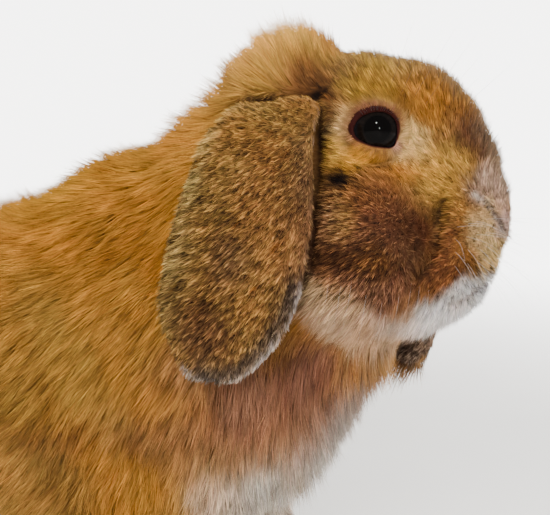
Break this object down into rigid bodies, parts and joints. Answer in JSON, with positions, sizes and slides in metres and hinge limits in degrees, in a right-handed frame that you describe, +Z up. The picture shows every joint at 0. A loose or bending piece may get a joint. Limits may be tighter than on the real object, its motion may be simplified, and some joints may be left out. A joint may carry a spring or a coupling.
{
  "type": "lop rabbit",
  "caption": "Lop-eared rabbit sitting on the floor with its head up and turned a little, broad ears hanging beside the cheeks, orange-tan coat with a pale chin and belly.",
  "frame": {"origin": "on the floor, under the middle of the bounding box", "axes": "+X from tail to nose, +Y to the animal's left, +Z up"},
  "size_m": [0.2966, 0.139, 0.232],
  "materials": {
    "coat": "soft orange-tan fur, matte",
    "ear_coat": "short brown ticked fur, matte",
    "white_coat": "off-white fur, matte",
    "bare_skin": "thin skin under the fur, pinkish at the nose and dark at the lids",
    "eye": "wet, very glossy, near black-brown",
    "claw": "satin horn",
    "whisker": "fine, pale, slightly glossy"
  },
  "bodies": {
    "root": {"ear_left": "ear_coat", "ear_right": "ear_coat", "eye_left": "eye", "eye_right": "eye", "forefoot_left": "coat", "forefoot_right": "coat", "foreleg_left": "coat", "foreleg_right": "coat", "head": "coat", "hind_foot_left": "coat", "hind_foot_right": "coat", "neck": "coat", "tail": "white_coat", "thigh_left": "coat", "thigh_right": "coat", "trunk": "coat"}
  },
  "joints": []
}
